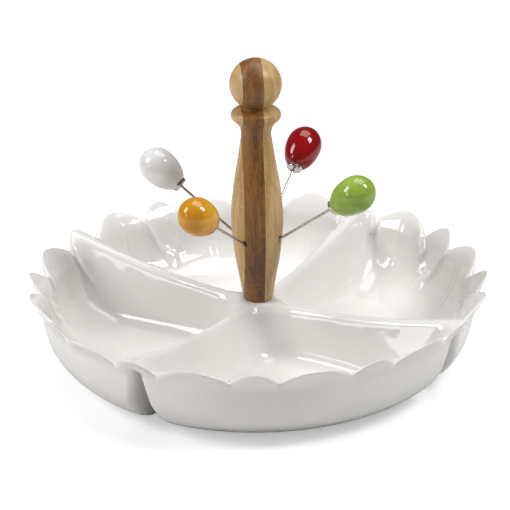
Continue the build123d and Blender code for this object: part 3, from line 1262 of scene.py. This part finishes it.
# ---------------------------------------------------------------- the handle
@dataclass
class TurnedHandle:
    """The laminated handle: a belly, a neck, a collar and a ball, cut into its staves."""

    foot_z: float = 39.4
    foot: tuple[Point, ...] = ((0, 0), (4.4, 0), (8.9, 0), (9.45, 0.25))
    body: tuple[Point, ...] = (
        (40.4, 9.8), (54, 12.0), (67.5, 14.4), (95, 17.0), (118, 15.4), (135.5, 12.4), (153.5, 9.6)
    )
    flare: tuple[Point, ...] = ((9.72, 155.4), (10.15, 157.4), (10.95, 159.4), (12.2, 161.2), (13.7, 162.7))
    collar_r: float = 16.1
    collar_z: float = 166.6
    collar_bulge: float = 1.6
    collar_half: float = 2.9
    collar_turn: Point = (0.35, 0.86 * pi)
    slope: tuple[Point, ...] = ((14.1, 170.1), (12.4, 170.9), (10.9, 171.4), (9.75, 171.9))
    neck_foot_z: float = 172.6
    neck_top_gap: float = 0.4
    neck_step: float = 0.25
    ball_z: float = 186.9
    ball_r: float = 16.7
    neck_r: float = 9.5
    stave_azimuth: float = 39.5
    glue_lines: Point = (-10.0, 3.0)
    hole_foot: float = 6.0
    hole_r: float = 0.97
    hole_end: float = 17.6
    mouth_r: float = 1.75
    mouth_start: float = 19.6
    drill_end: float = 27.0
    insert_r: float = 4.25
    insert_depth: float = 13.0
    screw_way_r: float = 2.8
    screw_spare: float = 4.0
    screw_lead: float = 1.0
    slip_splits: Point = (154.0, 172.3)
    above_all: float = 300.0
    past_side: float = 10.0
    crease: float = 38.0
    steps: int = 128
    hole_steps: int = 40
    bore_steps: int = 64

    def outline(self) -> list[Point]:
        """Outline of the turned shape.

        Returns:
            The radius and the height at each point, from the foot's middle to the ball's top.
        """
        foot = [(r, self.foot_z + up) for r, up in self.foot]
        belly = [(follow(self.body, z), z) for z in spaced(self.body[0][0], self.body[-1][0], 56)]
        bulge, half = self.collar_bulge, self.collar_half
        collar = [
            (self.collar_r - bulge + bulge * sin(a), self.collar_z - half * cos(a))
            for a in spaced(*self.collar_turn, 12)
        ]
        drop = sqrt(self.ball_r**2 - self.neck_r**2)
        neck = [(self.neck_r, self.neck_foot_z), (self.neck_r, self.ball_z - drop - self.neck_top_gap)]
        start = pi - atan2(self.neck_r + self.neck_step, drop)
        ball = [(self.ball_r * sin(a), self.ball_z + self.ball_r * cos(a)) for a in spaced(start, 0, 44)[:-1]]
        top = [(0, self.ball_z + self.ball_r)]
        return foot + belly + list(self.flare) + collar + list(self.slope) + neck + ball + top

    def drill(self) -> bpy.types.Object:
        """Make the cutter for every pick hole, each with an eased mouth, and for the insert's bore.

        Returns:
            The cutter, which is removed once the laths are drilled.
        """
        pick_hole = [
            (0, self.hole_foot),
            (self.hole_r, self.hole_foot),
            (self.hole_r, self.hole_end),
            (self.mouth_r, self.mouth_start),
            (self.mouth_r, self.drill_end),
            (0, self.drill_end),
        ]
        bore_foot = self.foot_z - self.screw_lead
        insert_top = self.foot_z + self.insert_depth
        screw_top = insert_top + self.screw_spare
        insert_bore = [
            (0, bore_foot),
            (self.insert_r, bore_foot),
            (self.insert_r, insert_top),
            (self.screw_way_r, insert_top),
            (self.screw_way_r, screw_top),
            (0, screw_top),
        ]
        places = [CocktailPick(colour).placement() for colour in BeadColour]
        bores = [turned_solid(pick_hole, self.hole_steps, place) for place in places]
        bores.append(turned_solid(insert_bore, self.bore_steps))
        holes = bmesh.new()
        for one in bores:
            mesh = bpy.data.meshes.new("drill_part")
            one.to_mesh(mesh)
            one.free()
            holes.from_mesh(mesh)
            bpy.data.meshes.remove(mesh)
        mesh = bpy.data.meshes.new("drill")
        holes.to_mesh(mesh)
        holes.free()
        cutter = bpy.data.objects.new("drill", mesh)
        bpy.context.scene.collection.objects.link(cutter)
        return cutter

    def stave(self, spans: Point, heights: Point) -> bmesh.types.BMesh:
        """One lath of the turned shape.

        Args:
            spans: lowest and highest offset across the glue lines.
            heights: lowest and highest level that the lath takes.

        Returns:
            The closed lath as a mesh under construction.
        """
        bm = turned_solid(self.outline(), self.steps)
        across = Vector((cos(radians(self.stave_azimuth)), sin(radians(self.stave_azimuth)), 0))
        cuts = ((spans[0], across, False), (spans[1], across, True))
        for offset, normal, clear_outer in cuts:
            if abs(offset) > self.ball_r:
                continue
            geometry = bm.verts[:] + bm.edges[:] + bm.faces[:]
            bmesh.ops.bisect_plane(
                bm,
                geom=geometry,
                plane_co=normal * offset * MM,
                plane_no=normal,
                clear_outer=clear_outer,
                clear_inner=not clear_outer,
            )
            rim = [edge for edge in bm.edges if edge.is_boundary]
            bmesh.ops.holes_fill(bm, edges=rim, sides=0)
        outside = [v for v in bm.verts if not heights[0] <= v.co.z / MM <= heights[1]]
        bmesh.ops.delete(bm, geom=outside, context="VERTS")
        bmesh.ops.recalc_face_normals(bm, faces=bm.faces[:])
        return bm

    def build(self, finishes: Finishes) -> list[bpy.types.Object]:
        """Build the staves and drill them.

        Args:
            finishes: the server's finishes.

        Returns:
            The five pieces of timber.
        """
        left, right = self.glue_lines
        wide = self.ball_r + self.past_side
        low_split, high_split = self.slip_splits
        everywhere = (0.0, self.above_all)
        wanted = (
            ("handle_stave_dark", (left, right), everywhere, "dark_wood"),
            ("handle_stave_light", (right, wide), everywhere, "light_wood"),
            ("handle_slip_belly", (-wide, left), (0.0, low_split), "light_wood"),
            ("handle_slip_collar", (-wide, left), (low_split, high_split), "light_wood"),
            ("handle_slip_ball", (-wide, left), (high_split, self.above_all), "light_wood"),
        )
        cutter = self.drill()
        pieces = []
        for node, spans, heights, slot in wanted:
            piece = piece_from(self.stave(spans, heights), f"{node}_fine", finishes.made[slot], None)
            if heights[0] < low_split:
                bore = piece.modifiers.new("pick_holes", "BOOLEAN")
                bore.object = cutter
                bore.solver = "EXACT"
                graph = bpy.context.evaluated_depsgraph_get()
                drilled = bpy.data.meshes.new_from_object(piece.evaluated_get(graph))
                piece.modifiers.clear()
                piece.data = drilled
            piece.data.shade_smooth()
            piece.data.set_sharp_from_angle(angle=radians(self.crease))
            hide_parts(node)
            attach(piece, "server")
            pieces.append(piece)
        bpy.data.objects.remove(cutter)
        LOG.info("handle: %d pieces", len(pieces))
        return pieces


@dataclass
class HubFixing:
    """The screw, washers and insert, whose shapes are the frame's own."""

    slots: tuple[tuple[str, str], ...] = (
        ("handle_screw", "steel"),
        ("steel_washer", "steel"),
        ("seal_washer", "seal_rubber"),
        ("threaded_insert", "brass"),
    )

    def build(self, finishes: Finishes) -> None:
        """Dress the frame's own pieces.

        Args:
            finishes: the server's finishes.
        """
        for node, slot in self.slots:
            materials = frame["nodes"][node].data.materials
            materials.clear()
            materials.append(finishes.made[slot])
        LOG.info("fixing: %d pieces dressed", len(self.slots))


# ---------------------------------------------------------------- the studio
@dataclass(frozen=True)
class Softbox:
    """A soft light that faces the dish.

    Its azimuth counts in degrees from the camera's direction, to the right, and its elevation from the
    horizontal. Its distance and size are in metres.
    """

    name: str
    azimuth: float
    elevation: float
    distance: float
    size: Point
    watts: float


@dataclass
class Studio:
    """Floor, lights and camera."""

    target: tuple[float, float, float] = (0.0, 0.0, 0.06)
    distance: float = 1.188
    azimuth: float = 31.2
    elevation: float = 23.39
    roll: float = -0.7
    focal: float = 127.3
    sensor: float = 36.0
    shift: Point = (-0.0055, 0.0265)
    clip: Point = (0.05, 50.0)
    paper_half: float = 6.0
    room_light: float = 0.12
    softboxes: tuple[Softbox, ...] = (
        Softbox("left_window", azimuth=-80.0, elevation=35.0, distance=1.3, size=(0.42, 0.62), watts=8.8),
        Softbox("right_window", azimuth=71.0, elevation=50.0, distance=1.3, size=(0.30, 0.5), watts=8.8),
        Softbox("low_window", azimuth=-60.0, elevation=14.0, distance=1.3, size=(0.26, 0.3), watts=1.3),
        Softbox("ceiling", azimuth=150.0, elevation=76.0, distance=1.9, size=(1.5, 1.2), watts=21.0),
    )

    def floor(self) -> None:
        """Lay the paper."""
        bm = bmesh.new()
        bmesh.ops.create_grid(bm, x_segments=8, y_segments=8, size=self.paper_half)
        paper = piece_from(bm, "paper_floor", StudioPaper().build(), None)

    def towards(self, azimuth: float, elevation: float) -> Vector:
        """Unit vector from the dish towards a direction given in degrees."""
        a, e = radians(azimuth), radians(elevation)
        return Vector((sin(a) * cos(e), -cos(a) * cos(e), sin(e)))

    def hang(self, box: Softbox) -> None:
        """Hang a soft light facing the dish.

        Args:
            box: the light.
        """
        data = bpy.data.lights.new(box.name, "AREA")
        data.shape = "RECTANGLE"
        data.size, data.size_y = box.size
        data.energy = box.watts
        lamp = bpy.data.objects.new(box.name, data)
        way = self.towards(self.azimuth + box.azimuth, box.elevation)
        lamp.location = Vector(self.target) + way * box.distance
        lamp.rotation_euler = way.to_track_quat("Z", "Y").to_euler()
        bpy.context.scene.collection.objects.link(lamp)

    def light(self) -> None:
        """Hang the softboxes and light the white room."""
        for box in self.softboxes:
            self.hang(box)
        world = bpy.data.worlds.new("white_room")
        world.use_nodes = True
        background = world.node_tree.nodes["Background"]
        background.inputs["Color"].default_value = WHITE
        background.inputs["Strength"].default_value = self.room_light
        bpy.context.scene.world = world

    def camera(self) -> None:
        """Stand the camera at its place, aimed at the dish and turned by its roll."""
        azimuth, roll = radians(self.azimuth), radians(self.roll)
        back = self.towards(self.azimuth, self.elevation)
        right = Vector((cos(azimuth), sin(azimuth), 0))
        up = back.cross(right)
        turned_right = right * cos(roll) + up * sin(roll)
        turned_up = up * cos(roll) - right * sin(roll)
        data = bpy.data.cameras.new("camera")
        data.lens = self.focal
        data.sensor_width = self.sensor
        data.shift_x, data.shift_y = self.shift
        data.clip_start, data.clip_end = self.clip
        view = bpy.data.objects.new("camera", data)
        rows = Matrix((turned_right, turned_up, back)).transposed().to_4x4()
        view.matrix_world = Matrix.Translation(Vector(self.target) + back * self.distance) @ rows
        bpy.context.scene.collection.objects.link(view)
        bpy.context.scene.camera = view

    def build(self) -> None:
        """Set up the whole studio."""
        self.floor()
        self.light()
        self.camera()
        bpy.context.scene.view_settings.view_transform = "Standard"


def main() -> None:
    """Build the server and the studio."""
    logging.basicConfig(level=logging.INFO, format="%(name)s %(message)s")
    finishes = Finishes()
    finishes.build()
    PetalDish().build(finishes)
    TurnedHandle().build(finishes)
    for colour in BeadColour:
        CocktailPick(colour).build(finishes)
    HubFixing().build(finishes)
    Studio().build()


if __name__ == "__main__":
    main()
